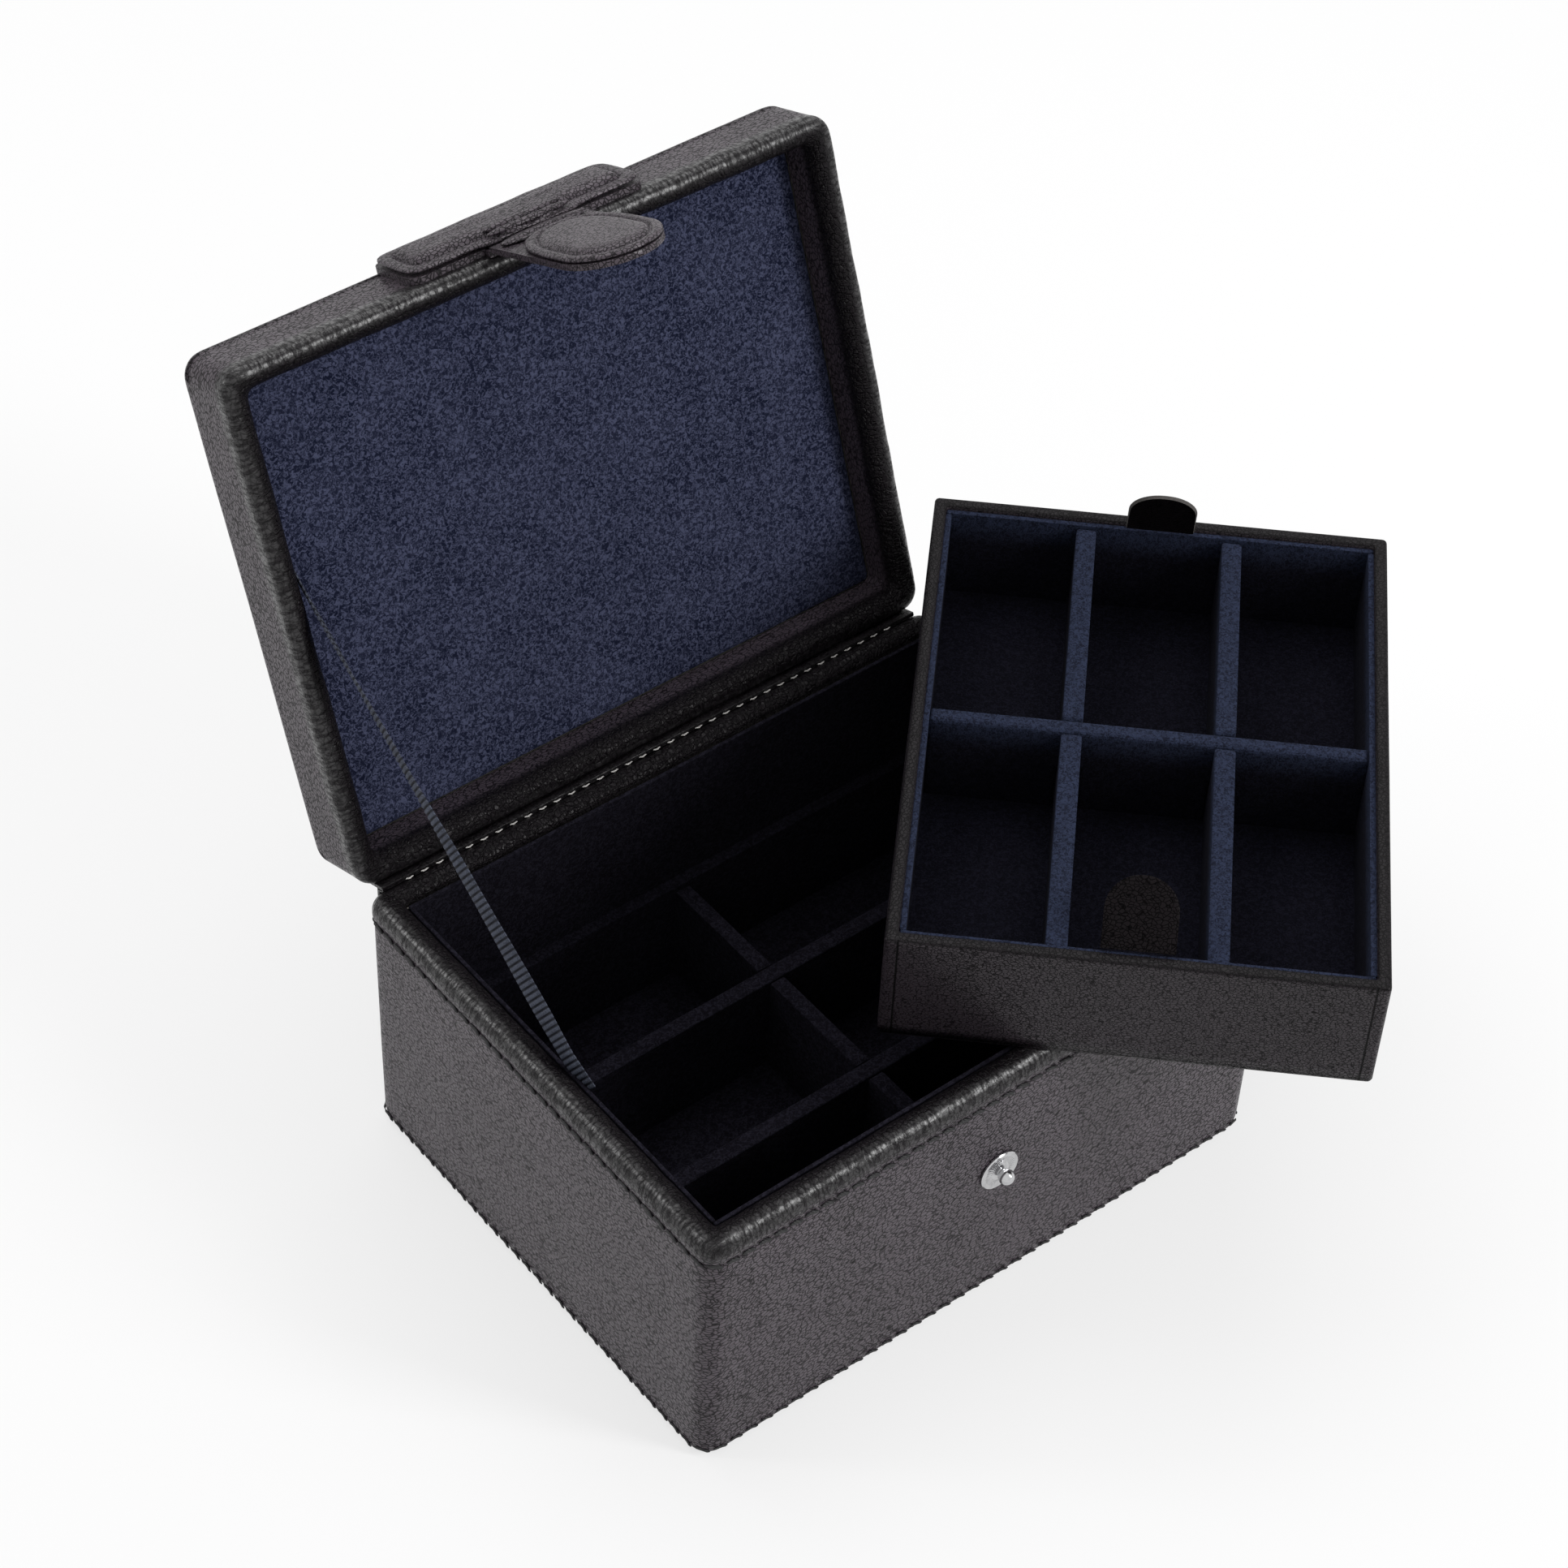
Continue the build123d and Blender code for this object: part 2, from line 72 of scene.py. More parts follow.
bpy.context.scene.view_settings.view_transform = "Standard"


# ---------------------------------------------------------------- floor and light
# A seamless pale sweep under the box, one large soft box overhead, a narrow one on each side and
# a soft room. The metal and the leather reflect the same pale room that the camera sees.

class Wire:
    """A shader socket. Sums on wires add Math nodes, so heights and masks read as arithmetic."""
    tree = None

    def __init__(self, socket):
        self.socket = socket

    @classmethod
    def plug(cls, socket, value):
        """Links a wire to the socket, or sets a plain value on it."""
        if isinstance(value, Wire):
            cls.tree.links.new(value.socket, socket)
        else:
            socket.default_value = value

    @classmethod
    def node(cls, kind, settings=None, **inputs):
        """Adds a node: its settings first, then values or wires for the sockets of those names."""
        made = cls.tree.nodes.new("ShaderNode" + kind)
        for name, value in (settings or {}).items():
            setattr(made, name, value)
        for name, value in inputs.items():
            words = name.replace("_", " ")
            cls.plug(next(s for s in made.inputs if s.name == words and s.enabled), value)
        return cls(next(s for s in made.outputs if s.enabled))

    def out(self, name):
        return Wire(self.socket.node.outputs[name])

    def math(self, operation, *others):
        made = Wire.tree.nodes.new("ShaderNodeMath")
        made.operation = operation
        for socket, value in zip(made.inputs, (self, *others)):
            Wire.plug(socket, value)
        return Wire(made.outputs[0])

    def __add__(self, other):
        return self.math("ADD", other)

    def __sub__(self, other):
        return self.math("SUBTRACT", other)

    def __mul__(self, other):
        return self.math("MULTIPLY", other)

    def __rsub__(self, other):
        return (self * -1.0).math("ADD", other)

    def over(self, low, high):
        """0 below low, 1 above high, smooth between."""
        return Wire.node("MapRange", {"interpolation_type": "SMOOTHSTEP"},
                         Value=self, From_Min=low, From_Max=high)


def mix_colour(mask, first, second):
    return Wire.node("Mix", {"data_type": "RGBA"}, Factor=mask, A=first, B=second)


def colour_of(tone, share=1.0):
    """A tone (red, green, blue), made darker or lighter by share, as a socket wants it."""
    return tuple(c * share for c in tone) + (1,)


def object_place():
    return Wire.node("TexCoord").out("Object")


def noise(place, scale, **inputs):
    return Wire.node("TexNoise", Vector=place, Scale=scale, **inputs)


def bumps(height, distance, strength=1.0):
    """A normal from a height wire, whose full range stands for a distance in mm."""
    return Wire.node("Bump", Strength=strength, Distance=distance * MM, Height=height)


def seen_rays():
    """1 where a ray shows the room: seen by the camera, mirrored or passed through."""
    rays = Wire.node("LightPath")
    return rays.out("Is Camera Ray").math("MAXIMUM", rays.out("Is Glossy Ray")).math(
        "MAXIMUM", rays.out("Is Transmission Ray"))


def new_material(name):
    """An empty Principled material that the wires are then added to."""
    made = bpy.data.materials.new(name)
    made.use_nodes = True
    Wire.tree = made.node_tree
    return made, made.node_tree.nodes["Principled BSDF"]


def feed(shader, **inputs):
    for name, value in inputs.items():
        Wire.plug(shader.inputs[name.replace("_", " ")], value)


def pick_none():
    bpy.ops.object.select_all(action="DESELECT")


def give(piece, *materials):
    piece.data.materials.clear()
    for material in materials:
        piece.data.materials.append(material)


room_white = (0.956, 0.956, 0.956, 1.0)
paper_glow = 0.72      # how much of the paper's look is the room's own white
sweep_paper, shader = new_material("sweep_paper")
paper = noise(object_place(), 6.0)
feed(shader, Base_Color=mix_colour(paper, (0.90, 0.90, 0.905, 1), (0.92, 0.92, 0.92, 1)),
     Roughness=0.9, Specular_IOR_Level=0.1)
white = Wire.node("Emission", Color=room_white, Strength=1.0)
lit = Wire.node("MixShader", Fac=seen_rays() * paper_glow)
Wire.plug(lit.socket.node.inputs[1], Wire(shader.outputs[0]))
Wire.plug(lit.socket.node.inputs[2], white)
Wire.plug(Wire.tree.nodes["Material Output"].inputs["Surface"], lit)

sweep_size, sweep_gap = 6.0, 0.0002
pick_none()
bpy.ops.mesh.primitive_plane_add(size=sweep_size, location=(0, 0, -sweep_gap))
sweep = bpy.context.object
sweep.name = "sweep"
bpy.ops.object.transform_apply(location=True, rotation=True, scale=True)
give(sweep, sweep_paper)

room = bpy.data.worlds.new("room")
bpy.context.scene.world = room
room.use_nodes = True
Wire.tree = room.node_tree
feed(room.node_tree.nodes["Background"], Color=room_white, Strength=seen_rays() * 0.5 + 0.5)


def soft_box(name, place, aim, size, watts):
    """A lamp of the given size in metres, turned to the spot that it aims at."""
    lamp = bpy.data.lights.new(name, "AREA")
    lamp.shape = "RECTANGLE"
    lamp.size, lamp.size_y = size
    lamp.energy = watts
    made = bpy.data.objects.new(name, lamp)
    bpy.context.scene.collection.objects.link(made)
    made.location = place
    made.rotation_euler = (Vector(aim) - Vector(place)).to_track_quat("-Z", "Y").to_euler()


soft_box("soft_box_over", (0.25, 0.45, 1.2), (0, 0, 0.08), (1.3, 1.0), 9.0)
soft_box("soft_box_left", (-0.95, 0.72, 0.66), (0, 0, 0.06), (0.2, 0.6), 3.2)
soft_box("soft_box_right", (0.62, -0.98, 0.78), (0, 0, 0.06), (0.3, 0.7), 10.0)


# ---------------------------------------------------------------- base leather
# The base is a box of board covered in black pebble-grain leather. One skin runs up the four
# sides, over a padded rim and down inside, and is sewn 6.4 mm below the rim and at the foot.

box_width, box_depth, box_corner = 160.0, 124.5, 5.0


def end_edit():
    if bpy.context.object.mode == "EDIT":
        bpy.ops.object.mode_set(mode="OBJECT")


def work_on(piece):
    """Makes the piece the only one that is selected, and the active one."""
    pick_none()
    piece.select_set(True)
    bpy.context.view_layer.objects.active = piece


def pick(piece, kind, test=lambda item: True):
    """Selects only the faces, edges or vertices that pass the test, or else all of them."""
    end_edit()
    mesh = piece.data
    for item in (*mesh.polygons, *mesh.edges, *mesh.vertices):
        item.select = False
    for item in {"FACE": mesh.polygons, "EDGE": mesh.edges, "VERT": mesh.vertices}[kind]:
        item.select = test(item)
    bpy.ops.object.mode_set(mode="EDIT")
    bpy.ops.mesh.select_mode(type=kind)


def take_all():
    """Selects all of the piece that is being edited."""
    bpy.ops.mesh.select_all(action="SELECT")


def face_outward():
    take_all()
    bpy.ops.mesh.normals_make_consistent(inside=False)


def round_corners(radius, segments):
    """Rounds the selected corners of a flat piece; radius is in mm."""
    bpy.ops.mesh.bevel(offset=radius * MM, segments=segments, affect="VERTICES")


def start_flat(name, width, depth, place=(0, 0, 0)):
    """A flat rectangle, in mm, left in edit mode with all of it selected."""
    pick_none()
    bpy.ops.mesh.primitive_plane_add(size=1, location=[v * MM for v in place])
    piece = bpy.context.object
    piece.name = name
    piece.scale = (width * MM, depth * MM, 1)
    bpy.ops.object.transform_apply(location=True, rotation=True, scale=True)
    bpy.ops.object.mode_set(mode="EDIT")
    take_all()
    return piece


def raise_by(height):
    bpy.ops.mesh.extrude_region_move(TRANSFORM_OT_translate={"value": (0, 0, height * MM)})


def step_in(*steps):
    """Insets the selected faces again and again, by (inward, rise) in mm."""
    for inward, rise in steps:
        bpy.ops.mesh.inset(thickness=inward * MM, depth=rise * MM)


def cut_long_edges(piece, axis, longer_than, cuts):
    """Cuts the long straight runs across, so that they can wave and bend."""
    spots = piece.data.vertices

    def is_long(edge):
        return abs((spots[edge.vertices[0]].co - spots[edge.vertices[1]].co)[axis]) > longer_than
    pick(piece, "EDGE", is_long)
    bpy.ops.mesh.subdivide(number_cuts=cuts)


def draw_in(width, depth, before, now, height):
    """Brings the picked outline from one inward distance to the next."""
    bpy.ops.transform.resize(value=((width - 2 * now) / (width - 2 * before),
                                    (depth - 2 * now) / (depth - 2 * before), 1),
                             center_override=(0, 0, height * MM))


def pull_up(name, width, depth, corner, steps, foot=(), stay_even=3.4, tip=None, closed=()):
    """A skin drawn up from a rounded rectangle, the way leather is drawn over a former. Each
    step is (inward, height) in mm from the full outline. Steps up to stay_even inward keep an
    even width round the corners. foot turns the lower edge in. tip and closed shut the top and
    the foot by steps of (inward, rise), and without them these are left open."""
    cut_length = 2.6      # how far apart the long runs are cut across
    def cap(steps):
        for run_in, rise in steps:
            raise_by(rise)
            draw_in(width, depth, 0, run_in, 0)
    inward, height = steps[0]
    piece = start_flat(name, width - 2 * inward, depth - 2 * inward, (0, 0, height))
    round_corners(corner, 6)
    bpy.ops.mesh.select_mode(type="FACE")
    take_all()
    for (before, low), (now, high) in zip(steps, steps[1:]):
        if before < now <= stay_even:
            step_in((now - before, high - low))
        else:
            raise_by(high - low)
            draw_in(width, depth, before, now, high)
    if tip is None:
        bpy.ops.mesh.delete(type="ONLY_FACE")
    cap(tip or ())
    just_above = height * MM + 0.00001
    pick(piece, "EDGE",
         lambda e: all(piece.data.vertices[v].co.z < just_above for v in e.vertices))
    for (before, low), (now, high) in zip([steps[0], *foot], foot):
        bpy.ops.mesh.extrude_edges_move(
            TRANSFORM_OT_translate={"value": (0, 0, (high - low) * MM)})
        draw_in(width, depth, before, now, high)
    if closed:
        bpy.ops.mesh.edge_face_add()
        bpy.ops.mesh.select_mode(type="FACE")
    cap(closed)
    face_outward()
    cut_long_edges(piece, 0, 0.3 * width * MM, int(width / cut_length))
    cut_long_edges(piece, 1, 0.3 * depth * MM, int(depth / cut_length))
    end_edit()
    return piece


def finish_with(piece, kind, **settings):
    """Adds a modifier and applies it."""
    work_on(piece)
    made = piece.modifiers.new(kind.lower(), kind)
    for name, value in settings.items():
        setattr(made, name, value)
    bpy.ops.object.modifier_apply(modifier=made.name)


def round_off(piece, levels):
    finish_with(piece, "SUBSURF", levels=levels, render_levels=levels)


def clouds(name, size):
    """A cloud pattern of the given size in mm."""
    made = bpy.data.textures.new(name, "CLOUDS")
    made.noise_scale = size * MM
    return made


def wave(piece, pattern, strength, middle=0.5, **group):
    """Moves the surface in and out by a few tenths of a mm, as leather isn't quite flat."""
    finish_with(piece, "DISPLACE", texture=pattern, strength=strength * MM, mid_level=middle,
                **group)


def repeat(piece, count, step, **joins):
    """A row of copies, each a step (x, y, z) in mm from the last."""
    finish_with(piece, "ARRAY", fit_type="FIXED_COUNT", count=count, use_relative_offset=False,
                use_constant_offset=True, constant_offset_displace=[way * MM for way in step],
                **joins)


def group_above(piece, name, height):
    group = piece.vertex_groups.new(name=name)
    group.add([v.index for v in piece.data.vertices if v.co.z > height * MM], 1.0, "REPLACE")
    return name


def smooth(piece, angle=50):
    work_on(piece)
    bpy.ops.object.shade_smooth_by_angle(angle=math.radians(angle))


def move_to(piece, matrix):
    """Puts a piece in its place and keeps that place in its mesh."""
    work_on(piece)
    piece.matrix_world = matrix
    bpy.ops.object.transform_apply(location=True, rotation=True, scale=True)


def dress(piece, material, angle=50, place=None):
    """Moves a piece to its place, shades it smooth up to an angle and gives its material."""
    if place is not None:
        move_to(piece, place)
    smooth(piece, angle)
    give(piece, material)


def shifted(x, y, z):
    return Matrix.Translation(Vector((x, y, z)) * MM)


def turned_by(degrees, axis):
    return Matrix.Rotation(math.radians(degrees), 4, axis)


def upright_place(turn, shift):
    """Object coordinates, turned and shifted into the piece's own upright place."""
    return Wire.node("Mapping", {"vector_type": "POINT"}, Location=shift, Rotation=turn,
                     Vector=object_place())


def pebble_leather(name, tone, turn=(0, 0, 0), shift=(0, 0, 0), rim=None, seam=None,
                   folded=None, cell=1.1, depth=0.16, rough=0.42, finish=0.5, gloss=0.14):
    """Leather with a pressed grain and a finish that sits on the tops of the grain. Its colour is
    painted dark in the grooves of the grain, as painted shade, over a random tone. turn and
    shift bring the pattern into the piece's own upright place, where rim=(low, high) is the
    stretched, wrinkled band, whose colour is painted darker as painted shade, seam=(x, y) is
    where a wrapped edge ends beside a corner and folded=(low, high) is where leather folded
    over an edge has less coat and is painted darker, as painted shade."""
    half_width, half_depth = box_width / 2, box_depth / 2
    material, shader = new_material(name)
    place = upright_place(turn, shift)
    parts = Wire.node("SeparateXYZ", Vector=place)
    long_x, long_y, tall = (parts.out(axis) for axis in "XYZ")

    def stretched(x, y, z):
        return Wire.node("CombineXYZ", X=long_x * x, Y=long_y * y, Z=tall * z)
    sideways, upward = 780 / cell, 1250 / cell      # grain cells in a metre
    grain = stretched(sideways, sideways, upward)
    drift = noise(grain, 0.55, Detail=1.0)
    grain = Wire.node("VectorMath", {"operation": "ADD"}, Vector=grain)
    Wire.plug(grain.socket.node.inputs[1], drift * 0.7)
    tops = Wire.node("TexVoronoi", {"feature": "DISTANCE_TO_EDGE"}, Vector=grain,
                     Scale=1.0).over(0.0, 0.17)
    pores = noise(grain, 2.7, Detail=2.0)
    swell = noise(place, 230.0, Detail=2.0)
    patch = noise(place, 45.0, Detail=3.0)
    height = tops * 0.9 + pores * 0.4 + swell * 0.5
    polish = tops * (pores.over(0.2, 0.6) * 0.4 + 0.6) * finish
    shade = tops * 0.88 + patch.over(0.3, 0.7) * 0.12
    matt = swell * 0.14 + (rough - 0.07)
    if rim is not None:
        low, high = rim
        band = tall.over(low * MM, high * MM)
        side = long_x.math("ABSOLUTE").over((half_width - 8) * MM, (half_width - 4) * MM)
        fine, coarse = 1300, 420      # wrinkles in a metre, along the rim and across it
        across = noise(stretched(fine, coarse, coarse), 1.0, Detail=3.0, Roughness=0.6)
        along = noise(stretched(coarse, fine, coarse), 1.0, Detail=3.0, Roughness=0.6)
        wrinkle = (across * (1 - side) + along * side).over(0.41, 0.57)
        roll = (long_x.math("ABSOLUTE") - half_width * MM).math(
            "MAXIMUM", long_y.math("ABSOLUTE") - half_depth * MM).over(-3.3 * MM, -1.7 * MM)
        height = height + wrinkle * band * 1.4
        polish = polish * (1 - band) + band * roll * (wrinkle * 0.8 + 0.2) * (tops * 0.5 + 0.5)
        # Painted shade: the rim band's colour is darkened to 8 % of the rest, beside its real
        # wrinkles and coat.
        shade = shade * (1 - band * 0.92)
        matt = matt - band * 0.1
    if seam is not None:
        edge = (long_x.math("ABSOLUTE") - seam[0] * MM).math("ABSOLUTE")
        cut = (1 - edge.over(0.1 * MM, 0.35 * MM)) * long_y.math("ABSOLUTE").over(
            (seam[1] - 0.6) * MM, (seam[1] - 0.3) * MM)
        height = height - cut * 2.0
        polish = polish * (1 - cut)
        shade = shade * (1 - cut)
    if folded is not None:
        low, high = folded
        # Painted shade: the band that faces up is darkened to 20 % and its coat is cut down.
        fold_shade_band = tall.over(low * MM, high * MM)
        polish = polish * (1 - fold_shade_band * 0.8)
        shade = shade * (1 - fold_shade_band * 0.8)
    # Painted shade: the grain's grooves get the tone at 0.06, far darker than the tops at 1.4.
    painted_groove_shade, ridges = colour_of(tone, 0.06), colour_of(tone, 1.4)
    feed(shader, Base_Color=mix_colour(shade, painted_groove_shade, ridges), Roughness=matt,
         Normal=bumps(height, depth), Specular_IOR_Level=gloss, Coat_Weight=polish,
         Coat_Roughness=0.3)
    return material


box_tone = (0.047, 0.037, 0.046)
rim_waves, side_waves = clouds("rim_waves", 9.0), clouds("side_waves", 45.0)
base_leather = pebble_leather("base_leather", box_tone, rim=(66.6, 70.0), gloss=0.10)

base_profile = [
    (0.0, 1.5), (0.22, 2.1), (0.0, 2.8), (0.0, 4.5), (0.0, 18.0), (0.0, 34.0), (0.0, 50.0),
    (0.0, 63.0), (0.0, 64.9), (0.1, 65.6), (0.42, 66.1), (0.1, 66.6), (-0.15, 67.3),
    (-0.2, 68.5), (-0.05, 69.5), (0.3, 70.5), (0.9, 71.4), (1.7, 72.05), (2.6, 72.4),
    (3.4, 72.5), (4.2, 72.35), (5.0, 71.95), (5.8, 71.3), (6.25, 70.6), (6.35, 69.4),
    (6.35, 60.0)]
base_skin = pull_up("base_skin", box_width, box_depth, box_corner, base_profile,
                    foot=[(0.45, 0.75), (1.3, 0.4)])
round_off(base_skin, 1)
wave(base_skin, rim_waves, 0.5, vertex_group=group_above(base_skin, "rim", 66.8))
wave(base_skin, side_waves, 0.35, middle=0.6)
dress(base_skin, base_leather)
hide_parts("base_leather_cover", "base_rim_binding", "base_rim_padding")
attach(base_skin, "base")

underside_leather = pebble_leather("underside_leather", (0.02, 0.018, 0.02), cell=0.7, depth=0.06,
                                   rough=0.6, finish=0.4)
give(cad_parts["base_underside"], underside_leather)


# ---------------------------------------------------------------- stitching of the base
# Two rows of black waxed thread run round the base: one under the rim, one at the foot. Each
# stitch is about 3.7 mm long, leans a little and dips into its two holes.

def thread_material(name, tone):
    material, shader = new_material(name)
    place = object_place()
    strands = Wire.node("TexWave", {"bands_direction": "DIAGONAL"}, Vector=place, Scale=900.0,
                        Distortion=1.5)
    fuzz = noise(place, 5000.0)
    feed(shader, Base_Color=mix_colour(strands, colour_of(tone, 0.6), colour_of(tone)),
         Roughness=0.62, Normal=bumps(strands + fuzz * 0.5, 0.08, 0.8))
    return material


def one_stitch(name, length, thick, lean):
    """A single stitch along X, its ends pressed into the leather that lies on its +Y side."""
    pressed = 0.22
    pick_none()
    bpy.ops.mesh.primitive_uv_sphere_add(segments=8, ring_count=7, radius=1)
    piece = bpy.context.object
    piece.name = name
    bpy.ops.object.mode_set(mode="EDIT")
    take_all()
    bpy.ops.transform.rotate(value=math.radians(90), orient_axis="Y", center_override=(0, 0, 0))
    bpy.ops.transform.resize(value=(length / 2 * MM, thick / 2 * MM, thick / 2 * MM),
                             center_override=(0, 0, 0))
    pick(piece, "VERT", lambda v: abs(v.co.x) > 0.3 * length * MM)
    bpy.ops.transform.translate(value=(0, pressed * MM, 0))
    take_all()
    bpy.ops.transform.rotate(value=math.radians(lean), orient_axis="Y", center_override=(0, 0, 0))
    end_edit()
    return piece


def sew_round(name, sunk, height, pitch, thick):
    """A row of stitches round the base, sunk into its leather."""
    width, depth, corner = box_width - 2 * sunk, box_depth - 2 * sunk, box_corner - sunk
    length_share, lean = 0.9, 13
    path = start_flat("stitch_path", width, depth)
    round_corners(corner, 8)
    bpy.ops.mesh.delete(type="ONLY_FACE")
    end_edit()
    bpy.ops.object.convert(target="CURVE")
    path.data.dimensions = "2D"
    length = 2 * (width + depth) - 8 * corner + 2 * math.pi * corner
    count = round(length / pitch)
    row = one_stitch(name, length_share * pitch, thick, lean)
    repeat(row, count, (length / count, 0, 0))
    finish_with(row, "CURVE", object=path, deform_axis="POS_X")
    bpy.data.objects.remove(path)
    dress(row, black_thread, 80, shifted(0, 0, height))
    return row


black_thread = thread_material("black_thread", (0.008, 0.008, 0.009))
rim_row = sew_round("base_rim_stitches", sunk=0.15, height=66.1, pitch=4.1, thick=1.05)
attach(rim_row, "base")
foot_row = sew_round("base_foot_stitches", sunk=0.05, height=2.1, pitch=4.2, thick=0.7)
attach(foot_row, "base")


# ---------------------------------------------------------------- suede inside the base
# The liners, ledge, dividers and floor are card wrapped in navy microfibre suede. The nap is
# brushed unevenly, so it shows lighter and darker flecks, and folded edges are soft.

def napped_suede(name, dark, light, turn=(0, 0, 0), shift=(0, 0, 0), fleck=1.0, top=None):
    """Navy microfibre with flecks of about 1 mm times fleck. top=(low, high, tone) is where the
    upper part is painted lighter towards a tone, as painted light from above, by height in the
    piece's own upright place."""
    material, shader = new_material(name)
    place = upright_place(turn, shift)
    fibre = noise(place, 2600.0 / fleck, Detail=2.0)
    flecks = noise(place, 1000.0 / fleck, Detail=3.0, Roughness=0.7, Distortion=1.2)
    brushed = noise(place, 70.0, Detail=3.0)
    nap = flecks.over(0.42, 0.62) * 0.9 + brushed.over(0.35, 0.65) * 0.1
    colour = mix_colour(nap, colour_of(dark), colour_of(light))
    if top is not None:
        low, high, lit_top_tone = top
        tall = Wire.node("SeparateXYZ", Vector=place).out("Z")
        # Painted light: above low the colour is mixed towards the lighter tone, broken by the
        # flecks.
        fuzz = tall.over(low * MM, high * MM) * (flecks.over(0.38, 0.6) * 0.75 + 0.25)
        colour = mix_colour(fuzz, colour, colour_of(lit_top_tone))
    feed(shader, Base_Color=colour, Roughness=0.95, Normal=bumps(flecks + fibre * 0.6, 0.2),
         Specular_IOR_Level=0.08)
    return material


def soften(node, width, segments=2):
    """Rounds the folded edges of a card piece that keeps its CAD shape."""
    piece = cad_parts[node]
    weld = piece.modifiers.new("weld", "WELD")
    weld.merge_threshold = 0.00001
    edge = piece.modifiers.new("edge", "BEVEL")
    edge.width = width * MM
    edge.segments = segments
    edge.limit_method = "ANGLE"
    edge.angle_limit = math.radians(40)
    edge.use_clamp_overlap = True
    edge.harden_normals = False
    return piece


# Painted shade: the base's copy of the navy suede is given a much darker tone than the lid's.
base_suede = napped_suede("base_suede", (0.0035, 0.0030, 0.0055), (0.015, 0.014, 0.022))
for side in ("front", "back", "left", "right"):
    give(soften("base_liner_" + side, 0.35), base_suede)
    give(soften("insert_wall_" + side, 0.6), base_suede)
for node in ("insert_divider_lengthwise", "insert_divider_front", "insert_divider_back"):
    give(soften(node, 0.8), base_suede)
give(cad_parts["insert_floor_pad"], base_suede)


# ---------------------------------------------------------------- snap stud
# A polished chrome press stud: a thin dished flange with a turned ball on a short neck, set
# through the front leather and clenched behind it.

stud_height = 41.3


def chrome(name, radial=False):
    """Polished metal with faint smears. radial adds the stud flange's pressed spokes."""
    spoke_count = 34.0
    material, shader = new_material(name)
    place = object_place()
    smear = noise(place, 600.0, Detail=3.0)
    height = smear * 0.3
    if radial:
        parts = Wire.node("SeparateXYZ", Vector=place)
        rise = parts.out("Z") - stud_height * MM
        spokes = (rise.math("ARCTAN2", parts.out("X")) * spoke_count).math("SINE")
        reach = (rise * rise + parts.out("X") * parts.out("X")).math("SQRT")
        height = height + spokes * reach.over(2.2 * MM, 2.6 * MM) * (
            1 - reach.over(4.0 * MM, 4.4 * MM)) * 1.6
    feed(shader, Base_Color=mix_colour(smear, (0.40, 0.40, 0.41, 1), (0.66, 0.66, 0.67, 1)),
         Metallic=1.0, Roughness=smear * 0.16 + 0.08, Normal=bumps(height, 0.08, 0.35))
    return material


def turned(name, profile, shut=True):
    """A turned part: the profile, (radius, height) in mm, spun about Z. shut closes its end."""
    pick_none()
    bpy.ops.mesh.primitive_circle_add(vertices=40, radius=profile[0][0] * MM,
                                      location=(0, 0, profile[0][1] * MM))
    piece = bpy.context.object
    piece.name = name
    bpy.ops.object.transform_apply(location=True, rotation=True, scale=True)
    bpy.ops.object.mode_set(mode="EDIT")
    take_all()
    for (wide, low), (now, high) in zip(profile, profile[1:]):
        raise_by(high - low)
        bpy.ops.transform.resize(value=(now / wide, now / wide, 1),
                                 center_override=(0, 0, high * MM))
    if shut:
        bpy.ops.mesh.edge_face_add()
    face_outward()
    end_edit()
    smooth(piece, 35)
    return piece


ball_radius, ball_height = 1.9, 2.7
flange = [(5.0, -0.1), (5.2, 0.15), (5.2, 0.5), (5.0, 0.75), (4.5, 0.78), (3.9, 0.6),
          (2.7, 0.62), (2.1, 0.9), (1.4, 0.95)]
neck = [(1.15, 1.0), (1.15, 1.25)]
ball = [(ball_radius * math.cos(math.radians(a)),
         ball_height + ball_radius * math.sin(math.radians(a))) for a in range(-48, 90, 12)]
stud = turned("stud", flange + neck + ball)
move_to(stud, shifted(0, -box_depth / 2, stud_height) @ turned_by(90, "X"))
stud_chrome = chrome("stud_chrome", radial=True)
give(stud, stud_chrome)
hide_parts("snap_stud")
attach(stud, "base")
give(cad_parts["snap_stud_eyelet"], stud_chrome)


# ---------------------------------------------------------------- lid leather
# The lid is the same board and leather: one skin over its padded top, round its sides, over a
# rolled rim and down to the panel. It is made shut and upside down, then turned open.

lid_low, lid_height, lid_open = 72.9, 20.5, math.radians(110.4)
hinge_y, hinge_z = box_depth / 2, 72.7
open_lid = (shifted(0, hinge_y, hinge_z) @ Matrix.Rotation(-lid_open, 4, "X")
            @ shifted(0, -hinge_y, -hinge_z))
lid_upside_down = open_lid @ shifted(0, 0, lid_low + lid_height) @ turned_by(180, "X")


def home_of(place):
    """Turn and shift that bring the pattern on a placed piece back to its upright place."""
    home = place.inverted()
    return {"turn": tuple(home.to_euler()), "shift": tuple(home.to_translation())}


lid_pattern = home_of(open_lid)
lid_leather = pebble_leather("lid_leather", box_tone, rim=(79.0, 76.0), gloss=0.10,
                             **lid_pattern)

